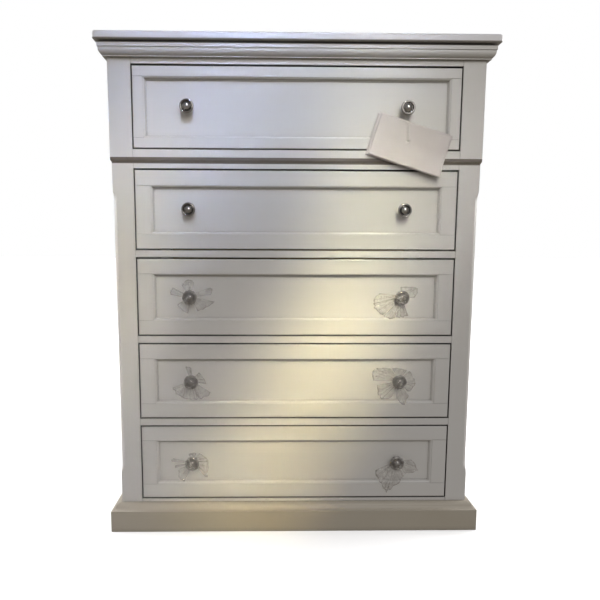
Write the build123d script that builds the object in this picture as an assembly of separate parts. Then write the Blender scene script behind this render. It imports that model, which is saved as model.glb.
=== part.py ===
from build123d import *
import math
import os

# Tall chest of five drawers. Millimetres; +X right, -Y front, +Z up.
# The origin is on the floor under the centre of the top board.

# Overall sizes
overall_height = 1270.0
lower_case_width = 929.0
top_depth = 510.0

# The upper case stands this much proud of the lower one, at the front and sides
waist_step = 3.0

# Top board
top_thickness = 19.0
top_overhang = 27.5
top_corner_radius = 9.0
top_upper_round = 7.0
top_lower_round = 3.0

# Corner posts, and the stopped chamfer on each front one
post_width = 53.5
post_depth = 45.0
chamfer_leg = 9.0
chamfer_foot_gap = 78.0  # from the top of the base moulding
chamfer_head_gap = 47.0  # below the waist rail
chamfer_stop_length = 28.0

# Front rails, from the floor up
bottom_rail_foot = 20.0
bottom_rail_top = 80.0
divider_height = 18.0
waist_lower_height = 12.0
waist_moulding_height = 15.0
waist_upper_height = 19.0
top_rail_height = 48.5
rail_depth = 60.0

# Fine grooves that show where painted rails meet posts and stiles
joint_groove_width = 1.0
joint_groove_depth = 0.8

# Side frames: rails between the posts and a thin panel set back behind them
side_rail_thickness = 22.0
side_bottom_rail_top = 120.0
side_waist_rail_height = 60.0
side_top_rail_height = 75.0
side_panel_thickness = 6.0
side_panel_recess = 10.0
side_panel_tongue = 8.0
groove_clearance = 0.2

# Back
back_rail_thickness = 20.0
back_rail_height = 70.0
back_panel_thickness = 6.0
back_panel_foot = 30.0

# Bottom board
bottom_board_thickness = 12.0
bottom_board_height = 40.0

# Drawer fronts: two rails, two stiles and a flat panel behind a small moulded edge
drawer_count = 5
drawer_gap = 3.0
drawer_top_gap = 4.2  # the drawers hang a little low
front_thickness = 20.0
front_edge_round = 2.0
frame_width = 38.0
top_drawer_frame_width = 25.0
sticking_width = 7.0
sticking_step = 1.5
sticking_quirk_width = 1.5
sticking_foot_height = 2.5
sticking_sag = 1.6
panel_recess = 10.0
panel_thickness = 6.0
panel_tongue = 8.0

# Drawer boxes
box_wall = 12.0
box_top_clearance = 26.5
box_rise = 18.0
box_back_clearance = 14.0
drawer_bottom_thickness = 6.0
drawer_bottom_rise = 10.0
drawer_bottom_tongue = 6.0

# Side-mounted slides: a channel on the case, and one nested in it on the drawer
slide_space = 12.7
slide_height = 45.0
slide_metal = 1.2
slide_clearance = 0.5
slide_length = 400.0
slide_setback = 4.5
bearer_thickness = 18.0
bearer_height = 60.0

# Knobs
knob_offset = 273.5
knob_radius = 17.5
knob_back_inset = 0.8
knob_rim_inset = 0.6
knob_ring_inset = 2.9
knob_groove_inset = 6.7
knob_dome_inset = 7.8
knob_neck_radius = 5.0
knob_foot_radius = 9.0
knob_foot_height = 2.0
neck_start = 8.0
neck_end = 13.0
rim_back = 18.5
rim_front = 22.0
ring_crest = 23.6
groove_height = 21.8
dome_foot_height = 22.4
knob_length = 28.0
foot_sweep_sag = 1.2
head_sweep_sag = 1.4
rim_sag = 0.7
ring_sag = 0.4
groove_sag = 0.5
knob_screw_radius = 2.0
knob_screw_grip = 12.0
screw_head_radius = 4.5
screw_head_height = 2.5
screw_clearance = 0.15

# Screws that hold the top board, up through the middle and both ends of the front and back rails
top_screw_radius = 2.2
top_screw_bite = 13.0
top_screw_wood = 26.5
top_screw_end_distance = 110.0

# Moulding sections: how far each stands out and how high
base_projection = 24.0
base_face_height = 56.0
base_height = 72.0
base_lip = 3.0
base_ogee_sag = 2.0
cornice_bottom_out = 8.5
cornice_fillet_out = 18.0
cornice_neck_out = 10.0
cornice_height = 35.0
cornice_lip_height = 2.0
cornice_fillet_bottom = 20.0
cornice_fillet_top = 29.0
cornice_cove_stop = 2.0
cornice_cove_sag = 3.0
waist_moulding_depth = 10.0
waist_hollow_foot = 3.0
waist_hollow_sag = 1.5

# Clear film round the knobs of the lower three drawers
film_thickness = 0.8
film_clearance = 0.5
film_lap = 12.6
film_gather_folds = 3
film_neck_gap = 1.2
film_gather_depth = 3.0
film_back_gap = 1.0
film_rim_rise = 0.6
film_ring_gap = 2.0
film_rim_slack = 0.6
film_margin = 10.0
film_reaches = {  # how far each skirt reaches left, right, up and down of its knob
    3: ((48, 61, 45, 44), (82, 40, 35, 61)),
    4: ((51, 60, 46, 53), (68, 50, 44, 66)),
    5: ((60, 44, 32, 52), (60, 60, 20, 85)),
}

# Hang tag and its string, on the right-hand knob of the top drawer
tag_width = 190.0
tag_height = 108.0
tag_thickness = 1.2
tag_tilt = 18.0
tag_clearance = 0.4
tag_corner_radius = 1.5
tag_hole_radius = 3.0
tag_hole_drop = 78.0
tag_hole_shift = 3.5
tag_hole_below_edge = 45.0
tag_hole_from_right = 104.0
string_radius = 0.6
string_spread = 1.4
string_clearance = 0.3

# Worked out from the sizes above
upper_case_width = lower_case_width + 2 * waist_step
top_width = upper_case_width + 2 * top_overhang
lower_half = lower_case_width / 2
upper_half = upper_case_width / 2
front_edge = -top_depth / 2
back_edge = top_depth / 2
upper_front = front_edge + top_overhang
lower_front = upper_front + waist_step
opening_half = lower_half - post_width
top_underside = overall_height - top_thickness
waist_height = waist_lower_height + waist_moulding_height + waist_upper_height
stack_of_rails = bottom_rail_top + (drawer_count - 2) * divider_height + waist_height + top_rail_height
opening_height = (top_underside - stack_of_rails) / drawer_count
lower_openings = [bottom_rail_top + i * (opening_height + divider_height) for i in range(drawer_count - 1)]
waist_bottom = lower_openings[-1] + opening_height
moulding_bottom = waist_bottom + waist_lower_height
waist_line = moulding_bottom + waist_moulding_height
opening_bottoms = [waist_line + waist_upper_height] + lower_openings[::-1]
rear_post_front = back_edge - post_depth
back_rail_front = back_edge - back_panel_thickness - back_rail_thickness
box_half = opening_half - slide_space
box_side_height = opening_height - box_rise - box_top_clearance
chamfer_bottom = base_height + chamfer_foot_gap
chamfer_top = waist_bottom - chamfer_head_gap
knob_ring_radius = knob_radius - knob_ring_inset


def block(x, y, z):
    """A box between pairs of limits on X, Y and Z."""
    centre = Pos((x[0] + x[1]) / 2, (y[0] + y[1]) / 2, (z[0] + z[1]) / 2)
    return centre * Box(x[1] - x[0], y[1] - y[0], z[1] - z[0])


def both_sides(solid):
    """A solid on the right and its mirror image on the left."""
    return [mirror(solid, about=Plane.YZ), solid]


def rod(radius, start, end):
    """A round bar between two places."""
    run = Vector(*end) - Vector(*start)
    return Plane(origin=start, z_dir=run) * extrude(Circle(radius), amount=run.length)


def closed(*edges):
    """The face inside a closed outline, first edge to last."""
    return make_face(Wire([edge.edge() for edge in edges]))


def write(node, *solids):
    """One STEP file for a node, with each of its pieces as a solid of its own."""
    pieces = [solid for shape in solids for solid in shape.solids()]
    export_step(Compound(pieces), f"parts/{node}.step")


# Mouldings that go round the front and both sides


def mitred_runs(section, half_width, front, inset, reach):
    """Front, left and right lengths of a moulding, mitred at the front corners.

    The section is drawn with X as the distance out from the case and Y as the height.
    """
    across = 2 * (half_width + reach)
    front_plane = Plane(origin=(across / 2, front, 0), x_dir=(0, -1, 0), z_dir=(-1, 0, 0))
    front_run = extrude(front_plane * section, amount=across)
    side_plane = Plane(origin=(half_width, back_edge, 0), x_dir=(1, 0, 0), z_dir=(0, -1, 0))
    side_run = extrude(side_plane * section, amount=back_edge - front + reach)
    inner = (half_width - inset, front + inset)
    outer = (half_width + reach, front - reach)
    front_area = Polyline(inner, outer, (-outer[0], outer[1]), (-inner[0], inner[1]), close=True)
    side_area = Polyline(inner, outer, (outer[0], back_edge), (inner[0], back_edge), close=True)
    front_piece = front_run & extrude(make_face(front_area), amount=overall_height)
    side_piece = side_run & extrude(make_face(side_area), amount=overall_height)
    return [front_piece] + both_sides(side_piece)


def base_section():
    """A tall flat skirt with an ogee on top."""
    middle = ((base_projection + base_lip) / 2, (base_face_height + base_height) / 2)
    shoulder = (base_projection, base_face_height)
    lip = (base_lip, base_height)
    return closed(
        Line((0, 0), (base_projection, 0)),
        Line((base_projection, 0), shoulder),
        SagittaArc(shoulder, middle, base_ogee_sag),
        SagittaArc(middle, lip, -base_ogee_sag),
        Line(lip, (0, base_height)),
        Line((0, base_height), (0, 0)),
    )


def cornice_section():
    """Lip, cove, fillet and a narrow neck under the top board."""
    foot = top_underside - cornice_height
    lip = (cornice_bottom_out, foot + cornice_lip_height)
    cove_top = (cornice_fillet_out - cornice_cove_stop, foot + cornice_fillet_bottom)
    fillet_foot = (cornice_fillet_out, foot + cornice_fillet_bottom)
    fillet_head = (cornice_fillet_out, foot + cornice_fillet_top)
    neck = (cornice_neck_out, foot + cornice_fillet_top)
    return closed(
        Line((0, foot), (cornice_bottom_out, foot)),
        Line((cornice_bottom_out, foot), lip),
        SagittaArc(lip, cove_top, -cornice_cove_sag),
        Line(cove_top, fillet_foot),
        Line(fillet_foot, fillet_head),
        Line(fillet_head, neck),
        Line(neck, (cornice_neck_out, top_underside)),
        Line((cornice_neck_out, top_underside), (0, top_underside)),
        Line((0, top_underside), (0, foot)),
    )


def waist_section():
    """A shallow hollow, let into the lower case, that leads out to the upper case."""
    back = -waist_moulding_depth
    hollow_foot = (0, moulding_bottom + waist_hollow_foot)
    hollow_head = (waist_step, waist_line)
    return closed(
        Line((back, moulding_bottom), (0, moulding_bottom)),
        Line((0, moulding_bottom), hollow_foot),
        SagittaArc(hollow_foot, hollow_head, -waist_hollow_sag),
        Line(hollow_head, (back, waist_line)),
        Line((back, waist_line), (back, moulding_bottom)),
    )


def waist_housing():
    """The space that the waist moulding is let into, at the front and both sides."""
    depth = waist_moulding_depth
    z = (moulding_bottom, waist_line)
    front = block((-lower_half, lower_half), (lower_front - waist_step, lower_front + depth), z)
    side = block((lower_half - depth, lower_half), (lower_front, back_edge), z)
    return [front] + both_sides(side)


# Case


def stopped_chamfer():
    """What a stopped chamfer takes off the right-hand front corner of the lower case."""
    depth = chamfer_leg / math.sqrt(2)
    inward = Vector(-1, 1, 0).normalized()
    plane = Plane(origin=(lower_half, lower_front, 0), x_dir=inward, z_dir=inward.cross(Vector(0, 0, 1)))
    half_stop = chamfer_stop_length / 2
    sag = depth / 8
    low = [(i * depth / 2, chamfer_bottom + i * half_stop) for i in range(3)]
    high = [(i * depth / 2, chamfer_top - i * half_stop) for i in range(3)]
    outside = -chamfer_leg
    profile = closed(
        Line((outside, chamfer_bottom), low[0]),
        SagittaArc(low[0], low[1], sag),
        SagittaArc(low[1], low[2], -sag),
        Line(low[2], high[2]),
        SagittaArc(high[2], high[1], -sag),
        SagittaArc(high[1], high[0], sag),
        Line(high[0], (outside, chamfer_top)),
        Line((outside, chamfer_top), (outside, chamfer_bottom)),
    )
    return extrude(plane * profile, amount=chamfer_leg, both=True)


def posts():
    """The right-hand front and rear posts, each stepped out above the waist."""
    low_x = (opening_half, lower_half)
    high_x = (opening_half, upper_half)
    low_z = (0, waist_line)
    high_z = (waist_line, top_underside)
    front_back = lower_front + post_depth
    rear_y = (rear_post_front, back_edge)
    front = block(low_x, (lower_front, front_back), low_z) + block(high_x, (upper_front, front_back), high_z)
    front = front - stopped_chamfer()
    rear = block(low_x, rear_y, low_z) + block(high_x, rear_y, high_z)
    for space in waist_housing():
        front = front - space
        rear = rear - space
    return front, rear


def side_frame():
    """The rails and panels of the right-hand side, between the front and rear posts."""
    y = (lower_front + post_depth, rear_post_front)
    low_x = (lower_half - side_rail_thickness, lower_half)
    high_x = (upper_half - side_rail_thickness, upper_half)
    low_top = waist_line - side_waist_rail_height
    high_bottom = waist_line + side_waist_rail_height
    high_top = top_underside - side_top_rail_height
    rails = [
        block(low_x, y, (bottom_rail_foot, side_bottom_rail_top)),
        block(low_x, y, (low_top, waist_line)),
        block(high_x, y, (waist_line, high_bottom)),
        block(high_x, y, (high_top, top_underside)),
    ]
    panels = []
    for x, z in ((low_x, (side_bottom_rail_top, low_top)), (high_x, (high_bottom, high_top))):
        face = x[1] - side_panel_recess
        tall = (z[0] - side_panel_tongue, z[1] + side_panel_tongue)
        panels.append(block((face - side_panel_thickness, face), y, tall))
        slack = groove_clearance
        groove = block(
            (face - side_panel_thickness - slack, face + slack), y, (tall[0] - slack, tall[1] + slack)
        )
        rails = [rail - groove for rail in rails]
    for space in waist_housing():
        rails = [rail - space for rail in rails]
    return rails, panels


def front_rail(front, bottom, top):
    """A rail between the front posts, with a fine groove down each joint."""
    rail = block((-opening_half, opening_half), (front, front + rail_depth), (bottom, top))
    line = block(
        (opening_half - joint_groove_width, opening_half), (front, front + joint_groove_depth), (bottom, top)
    )
    return without(rail, both_sides(line))


def top_screw_places():
    """Where the screws go up into the top board, and how high the rail round each is."""
    out = opening_half - top_screw_end_distance
    front = upper_front + rail_depth / 2
    back = back_rail_front + back_rail_thickness / 2
    rows = ((front, top_rail_height), (back, back_rail_height))
    return [(x, y, height) for y, height in rows for x in (-out, 0, out)]


def top_screws(slack):
    """The top screws, or with some slack the holes that they go through."""
    shapes = []
    seat = top_underside - top_screw_wood
    for x, y, height in top_screw_places():
        head_foot = top_underside - height if slack else seat - screw_head_height
        neck = rod(top_screw_radius + slack, (x, y, seat), (x, y, top_underside + top_screw_bite))
        head = rod(screw_head_radius + slack, (x, y, head_foot), (x, y, seat))
        shapes.append(neck + head)
    return shapes


def without(solid, cuts):
    """A solid with several shapes taken from it."""
    for cut in cuts:
        solid = solid - cut
    return solid


def top_board():
    """The top board, rounded at the front and sides."""
    half = top_width / 2
    board = block((-half, half), (front_edge, back_edge), (top_underside, overall_height))
    board = fillet(board.edges().filter_by(Axis.Z).sort_by(Axis.Y)[:2], top_corner_radius)
    for height, radius in ((overall_height, top_upper_round), (top_underside, top_lower_round)):
        rim = [edge for edge in board.edges() if abs(edge.center().Z - height) < 0.1]
        board = fillet([edge for edge in rim if edge.center().Y < back_edge - 1], radius)
    return board


def case():
    """Everything that stays still, apart from the slides."""
    holes = top_screws(screw_clearance)
    write("top_board", without(top_board(), holes))
    write("top_screws", *top_screws(0))
    write("cornice_moulding", *mitred_runs(cornice_section(), upper_half, upper_front, 0, top_overhang))
    write("base_moulding", *mitred_runs(base_section(), lower_half, lower_front, 0, base_projection))
    waist = mitred_runs(waist_section(), lower_half, lower_front, waist_moulding_depth, waist_step)
    write("waist_moulding", *waist)
    front_post, rear_post = posts()
    for node, post in (("front_post", front_post), ("rear_post", rear_post)):
        left, right = both_sides(post)
        write(node + "_left", left)
        write(node + "_right", right)
    rails, panels = side_frame()
    write("side_rails", *[piece for rail in rails for piece in both_sides(rail)])
    write("side_panels", *[piece for panel in panels for piece in both_sides(panel)])
    top_rail = front_rail(upper_front, top_underside - top_rail_height, top_underside)
    write("front_top_rail", without(top_rail, holes))
    write("waist_rail_upper", front_rail(upper_front, waist_line, opening_bottoms[0]))
    write("waist_rail_lower", without(front_rail(lower_front, waist_bottom, waist_line), waist_housing()))
    tops = [bottom + opening_height for bottom in lower_openings[:-1]]
    write("divider_rails", *[front_rail(lower_front, top, top + divider_height) for top in tops])
    write("bottom_rail", front_rail(lower_front, bottom_rail_foot, bottom_rail_top))
    x = (-opening_half, opening_half)
    y = (back_rail_front, back_rail_front + back_rail_thickness)
    feet = (back_panel_foot, waist_line - back_rail_height / 2, top_underside - back_rail_height)
    back_rails = [without(block(x, y, (foot, foot + back_rail_height)), holes) for foot in feet]
    write("back_rails", *back_rails)
    y = (back_edge - back_panel_thickness, back_edge)
    write("back_panel", block(x, y, (back_panel_foot, top_underside)))
    half = lower_half - side_rail_thickness
    z = (bottom_board_height, bottom_board_height + bottom_board_thickness)
    write("bottom_board", block((-half, half), (lower_front + rail_depth, rear_post_front), z))


# Slides


def slide_channel(x, y, centre, height, metal, web_at):
    """A steel channel lying along Y; its web is at the low or high end of X."""
    outer = block(x, y, (centre - height / 2, centre + height / 2))
    hollow_x = (x[0] + metal, x[1]) if web_at == "low" else (x[0], x[1] - metal)
    inner = block(hollow_x, y, (centre - height / 2 + metal, centre + height / 2 - metal))
    return outer - inner


def slide_pair(number):
    """The right-hand case member, drawer member and bearer of one drawer."""
    centre = opening_bottoms[number - 1] + box_rise + box_side_height / 2
    y = (box_front(number) + slide_setback, box_front(number) + slide_setback + slide_length)
    case_x = (box_half + slide_metal, opening_half)
    drawer_x = (box_half, opening_half - slide_metal - slide_clearance)
    nested = slide_height - 2 * (slide_metal + slide_clearance)
    case_member = slide_channel(case_x, y, centre, slide_height, slide_metal, "high")
    drawer_member = slide_channel(drawer_x, y, centre, nested, slide_metal, "low")
    bearer = block(
        (opening_half, opening_half + bearer_thickness),
        (lower_front + post_depth, rear_post_front),
        (centre - bearer_height / 2, centre + bearer_height / 2),
    )
    return case_member, drawer_member, bearer


def case_slides():
    """The bearers and case members of every drawer."""
    bearers = []
    members = []
    for number in range(1, drawer_count + 1):
        case_member, _, bearer = slide_pair(number)
        bearers += both_sides(bearer)
        members += both_sides(case_member)
    write("slide_bearers", *bearers)
    write("slides_case_members", *members)


# Drawers, numbered from the top


def drawer_plane(number):
    """Where the face of a drawer front is."""
    return upper_front if number == 1 else lower_front


def box_front(number):
    """Where the drawer box starts, behind the drawer front."""
    return drawer_plane(number) + front_thickness


def frame_member_section(width):
    """A rail or stile of a drawer front: X from its outer edge, Y the depth behind its face, negated."""
    inner = width + sticking_width
    step = (width, -sticking_step)
    foot = (inner - sticking_quirk_width, -panel_recess + sticking_foot_height)
    return closed(
        Line((0, 0), (width, 0)),
        Line((width, 0), step),
        SagittaArc(step, foot, sticking_sag),
        Line(foot, (inner, foot[1])),
        Line((inner, foot[1]), (inner, -front_thickness)),
        Line((inner, -front_thickness), (0, -front_thickness)),
        Line((0, -front_thickness), (0, 0)),
    )


def drawer_front(number):
    """Rails, stiles and panel; the rails run through and the moulded edges are mitred."""
    width = top_drawer_frame_width if number == 1 else frame_width
    face = drawer_plane(number)
    bottom = opening_bottoms[number - 1] + drawer_gap
    top = opening_bottoms[number - 1] + opening_height - drawer_top_gap
    middle = (bottom + top) / 2
    half = opening_half - drawer_gap
    half_height = (top - bottom) / 2
    y = (face, face + front_thickness)
    section = frame_member_section(width)
    flat_half = half - width
    flat_half_height = half_height - width

    # Drawn with the drawer's centre at the origin, looking at its face: X across, Z up
    low_plane = Plane(origin=(-half, face, -half_height), x_dir=(0, 0, 1), z_dir=(1, 0, 0))
    low_rail = extrude(low_plane * section, amount=2 * half)
    side_plane = Plane(origin=(half, face, -half_height), x_dir=(-1, 0, 0), z_dir=(0, 0, 1))
    side_stile = extrude(side_plane * section, amount=2 * half_height)

    # The rail keeps the whole end, and the moulded edge inside it as far as the mitre
    turn = Rot(-90, 0, 0)
    run = flat_half_height
    low_area = make_face(
        Polyline(
            (-half, half_height), (half, half_height), (half, run), (flat_half, run),
            (flat_half - run, 0), (run - flat_half, 0), (-flat_half, run), (-half, run), close=True,
        )
    )
    side_area = make_face(
        Polyline(
            (half, -run), (half, run), (flat_half, run), (flat_half - run, 0), (flat_half, -run), close=True,
        )
    )
    reach = Pos(0, y[0] - 1, 0)
    low_rail = low_rail & (reach * turn * extrude(low_area, amount=front_thickness + 2))
    stile = side_stile & (reach * turn * extrude(side_area, amount=front_thickness + 2))
    members = [low_rail, mirror(low_rail, about=Plane.XY)] + both_sides(stile)

    # A fine groove along each joint between a rail and a stile
    line_z = (run - joint_groove_width / 2, run + joint_groove_width / 2)
    lines = both_sides(block((flat_half, half), (face, face + joint_groove_depth), line_z))
    lines += [mirror(line, about=Plane.XY) for line in lines]
    members = [without(member, lines) for member in members]

    # Softened outer edges, and the groove for the panel
    blank = block((-half, half), y, (-half_height, half_height))
    blank = fillet(blank.faces().sort_by(Axis.Y)[0].edges(), front_edge_round)
    panel_half = flat_half - sticking_width + panel_tongue
    panel_half_height = flat_half_height - sticking_width + panel_tongue
    panel_y = (face + panel_recess, face + panel_recess + panel_thickness)
    slack = groove_clearance
    groove = block(
        (-panel_half - slack, panel_half + slack),
        (panel_y[0] - slack, panel_y[1] + slack),
        (-panel_half_height - slack, panel_half_height + slack),
    )
    members = [(member & blank) - groove for member in members]
    panel = block((-panel_half, panel_half), panel_y, (-panel_half_height, panel_half_height))
    return [Pos(0, 0, middle) * piece for piece in members + [panel]]


def drawer_box(number):
    """The sides, inner front and back of a drawer, and its bottom in a groove."""
    z = (opening_bottoms[number - 1] + box_rise, opening_bottoms[number - 1] + box_rise + box_side_height)
    y = (box_front(number), back_rail_front - box_back_clearance)
    inside = box_half - box_wall
    floor = z[0] + drawer_bottom_rise
    walls = both_sides(block((inside, box_half), y, z))
    walls.append(block((-inside, inside), (y[0], y[0] + box_wall), z))
    walls.append(block((-inside, inside), (y[1] - box_wall, y[1]), z))
    tongue = drawer_bottom_tongue
    bottom_x = (-inside - tongue, inside + tongue)
    bottom_y = (y[0] + box_wall - tongue, y[1] - box_wall + tongue)
    bottom_z = (floor, floor + drawer_bottom_thickness)
    bottom = block(bottom_x, bottom_y, bottom_z)
    slack = groove_clearance
    groove = block(
        (bottom_x[0] - slack, bottom_x[1] + slack),
        (bottom_y[0] - slack, bottom_y[1] + slack),
        (bottom_z[0] - slack, bottom_z[1] + slack),
    )
    return [wall - groove for wall in walls], bottom


def knob_places(number):
    """The middle of each knob's foot, left then right."""
    y = drawer_plane(number) + panel_recess
    z = opening_bottoms[number - 1] + opening_height / 2
    return [(-knob_offset, y, z), (knob_offset, y, z)]


def knob():
    """A turned knob standing on the floor plane, with a threaded hole in its foot."""
    foot = (knob_foot_radius, knob_foot_height)
    neck_low = (knob_neck_radius, neck_start)
    neck_high = (knob_neck_radius, neck_end)
    back = (knob_radius - knob_back_inset, rim_back)
    rim = (knob_radius - knob_rim_inset, rim_front)
    ring = (knob_ring_radius, ring_crest)
    groove = (knob_radius - knob_groove_inset, groove_height)
    dome_foot_radius = knob_radius - knob_dome_inset
    dome_foot = (dome_foot_radius, dome_foot_height)
    rise = knob_length - dome_foot_height
    dome_radius = (dome_foot_radius**2 + rise**2) / (2 * rise)
    half_foot = dome_foot_radius / 2
    dome_middle = (half_foot, knob_length - dome_radius + math.sqrt(dome_radius**2 - half_foot**2))
    outline = closed(
        Line((0, 0), (knob_foot_radius, 0)),
        Line((knob_foot_radius, 0), foot),
        SagittaArc(foot, neck_low, foot_sweep_sag),
        Line(neck_low, neck_high),
        SagittaArc(neck_high, back, head_sweep_sag),
        SagittaArc(back, rim, -rim_sag),
        SagittaArc(rim, ring, -ring_sag),
        SagittaArc(ring, groove, groove_sag),
        Line(groove, dome_foot),
        ThreePointArc(dome_foot, dome_middle, (0, knob_length)),
        Line((0, knob_length), (0, 0)),
    )
    turned = revolve(Plane.XZ * outline, axis=Axis.Z)
    return turned - rod(knob_screw_radius + screw_clearance, (0, 0, 0), (0, 0, knob_screw_grip + 1))


def knob_screw(slack):
    """A knob screw in the knob's own frame, or with some slack the hole that it goes through."""
    seat = -(front_thickness - panel_recess + box_wall)
    shank = rod(knob_screw_radius + slack, (0, 0, seat), (0, 0, knob_screw_grip))
    if slack:
        return shank
    return shank + rod(screw_head_radius, (0, 0, seat - screw_head_height), (0, 0, seat))


def film_wrap(reach):
    """Film over a knob, drawn in behind its head and splayed out, in the knob's own frame."""
    gather = knob_neck_radius + film_clearance
    gathered = gather + film_gather_folds * film_thickness
    side = knob_radius + film_clearance
    crown = knob_ring_radius - film_rim_slack
    crown_height = ring_crest + film_ring_gap
    inner = [
        (0, knob_length + film_clearance),
        (crown, crown_height),
        (side, rim_front + film_rim_rise),
        (side, rim_back - film_back_gap),
        (gather, neck_end - film_neck_gap),
    ]
    outer = [
        (gathered, neck_end - film_neck_gap),
        (side + film_thickness, rim_back - film_back_gap - film_thickness),
        (side + film_thickness, rim_front + film_rim_rise + film_thickness / 2),
        (crown + film_thickness / 2, crown_height + film_thickness),
        (0, knob_length + film_clearance + film_thickness),
    ]
    head = revolve(Plane.XZ * make_face(Polyline(*inner, *outer, close=True)), axis=Axis.Z)
    left, right, up, down = reach
    far = max(reach) + film_margin
    low = neck_end - film_gather_depth
    skirt_outline = Polyline(
        (gather, low), (far, film_lap), (far, film_lap + film_thickness),
        (gathered, neck_end - film_neck_gap), (gather, neck_end - film_neck_gap), close=True,
    )
    skirt = revolve(Plane.XZ * make_face(skirt_outline), axis=Axis.Z)
    outline = Pos((right - left) / 2, (up - down) / 2) * Ellipse((left + right) / 2, (up + down) / 2)
    return head + (skirt & extrude(outline, amount=knob_length))


def drawer(number):
    """One drawer with everything that rides on it."""
    name = f"drawer_{number}_"
    places = [Pos(*place) * Rot(90, 0, 0) for place in knob_places(number)]
    holes = [place * knob_screw(screw_clearance) for place in places]
    write(name + "front", *[without(piece, holes) for piece in drawer_front(number)])
    walls, bottom = drawer_box(number)
    write(name + "box", *[without(wall, holes) for wall in walls])
    write(name + "bottom", bottom)
    write(name + "knobs", *[place * knob() for place in places])
    write(name + "knob_screws", *[place * knob_screw(0) for place in places])
    _, member, _ = slide_pair(number)
    write(name + "slides", *both_sides(member))
    if number in film_reaches:
        reaches = film_reaches[number]
        write(name + "film", *[place * film_wrap(reach) for place, reach in zip(places, reaches)])


# Hang tag and string


def tag_hole():
    """The middle of the tag's hole, on the tag's front face."""
    knob_x, _, knob_z = knob_places(1)[1]
    face = upper_front - tag_clearance - tag_thickness
    return Vector(knob_x + tag_hole_shift, face, knob_z - tag_hole_drop)


def hang_tag():
    """A blank card hanging askew in front of the top drawer."""
    hole = tag_hole()
    left = tag_hole_from_right - tag_width
    card = Pos(left + tag_width / 2, tag_hole_below_edge - tag_height / 2) * RectangleRounded(
        tag_width, tag_height, tag_corner_radius
    )
    card = card - Circle(tag_hole_radius)
    plane = Plane(origin=tuple(hole), x_dir=(1, 0, 0), z_dir=(0, -1, 0)).rotated((0, tag_tilt, 0))
    return extrude(plane * card, amount=-tag_thickness)


def string_points():
    """The string's corners: out of the hole, up, over the knob's neck, down and back in."""
    knob_x, foot_y, knob_z = knob_places(1)[1]
    hole = tag_hole()
    wrap = knob_neck_radius + string_radius + string_clearance
    neck_y = foot_y - neck_end + string_radius + string_clearance
    front_y = hole.Y - 2 * string_radius
    behind_y = hole.Y + tag_thickness / 2
    left = hole.X - string_spread
    right = hole.X + string_spread
    return [
        (left, behind_y, hole.Z),
        (left, front_y, hole.Z),
        (knob_x - wrap, neck_y, knob_z),
        (knob_x - wrap, neck_y, knob_z + wrap),
        (knob_x + wrap, neck_y, knob_z + wrap),
        (knob_x + wrap, neck_y, knob_z),
        (right, front_y, hole.Z),
        (right, behind_y, hole.Z),
    ]


def tag_string():
    """Straight runs joined by tangent arcs, swept as a round tube."""
    points = [Vector(*point) for point in string_points()]
    radii = []
    edges = []
    start = points[0]
    for before, corner, after in zip(points, points[1:], points[2:]):
        into = (corner - before).normalized()
        away = (after - corner).normalized()
        turn = math.acos(max(-1.0, min(1.0, into.dot(away))))
        trim = 0.45 * min((corner - before).length, (after - corner).length)
        radii.append(trim / math.tan(turn / 2))
        first = corner - into * trim
        last = corner + away * trim
        inside = (away - into).normalized()
        middle = corner + inside * (radii[-1] / math.cos(turn / 2) - radii[-1])
        edges += [Line(start, first), ThreePointArc(first, middle, last)]
        start = last
    edges.append(Line(start, points[-1]))
    path = Wire([edge.edge() for edge in edges])
    print("string length", round(path.length, 2), "radii", [round(radius, 2) for radius in radii])
    section = Plane(origin=points[0], z_dir=points[1] - points[0]) * Circle(string_radius)
    tube = sweep(section, path=path)
    print("string volume over section times length", tube.volume / (math.pi * string_radius**2 * path.length))
    return tube


os.makedirs("parts", exist_ok=True)
case()
case_slides()
for number in range(1, drawer_count + 1):
    drawer(number)
write("hang_tag", hang_tag())
write("tag_string", tag_string())
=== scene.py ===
import math
import bmesh
import bpy
from mathutils import Euler, Matrix, Vector, noise


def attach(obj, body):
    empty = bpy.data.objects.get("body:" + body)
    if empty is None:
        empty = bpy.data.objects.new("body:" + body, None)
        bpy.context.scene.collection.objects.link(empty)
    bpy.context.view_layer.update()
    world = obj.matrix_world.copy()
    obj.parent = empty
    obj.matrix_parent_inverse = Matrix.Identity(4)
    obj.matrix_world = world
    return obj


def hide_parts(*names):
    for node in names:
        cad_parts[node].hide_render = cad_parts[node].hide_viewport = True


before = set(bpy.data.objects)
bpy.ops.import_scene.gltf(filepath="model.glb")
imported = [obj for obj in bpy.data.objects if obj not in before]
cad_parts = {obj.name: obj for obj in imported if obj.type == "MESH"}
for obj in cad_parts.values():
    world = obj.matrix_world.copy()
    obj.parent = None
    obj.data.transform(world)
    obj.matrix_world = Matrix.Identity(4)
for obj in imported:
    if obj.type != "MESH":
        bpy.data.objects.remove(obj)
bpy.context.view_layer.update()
scene = bpy.context.scene


# Camera
# A wide lens at the height of the second drawer, a little left of the middle
# and tipped slightly down.
camera_data = bpy.data.cameras.new("camera")
camera_data.sensor_width = 36.0
camera_data.lens = 28.8
camera_data.shift_x = 0.0388
camera_data.shift_y = -0.0045
camera = bpy.data.objects.new("camera", camera_data)
camera_tilt_down = math.radians(6.05)
camera_turn_right = math.radians(0.883)
camera_roll = math.radians(0.197)
camera_place = Vector((-0.0691, -1.4611, 0.7581))
camera_aim = Euler((math.pi / 2 - camera_tilt_down, 0.0, -camera_turn_right))
camera.matrix_world = (
    Matrix.Translation(camera_place)
    @ camera_aim.to_matrix().to_4x4()
    @ Matrix.Rotation(camera_roll, 4, "Z")
)
scene.collection.objects.link(camera)
scene.camera = camera


# Floor and studio light
# A plain pale floor, an even pale surround, and soft boxes above and in front.
scene.view_settings.view_transform = "Standard"
scene.cycles.transparent_max_bounces = 32

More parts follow.
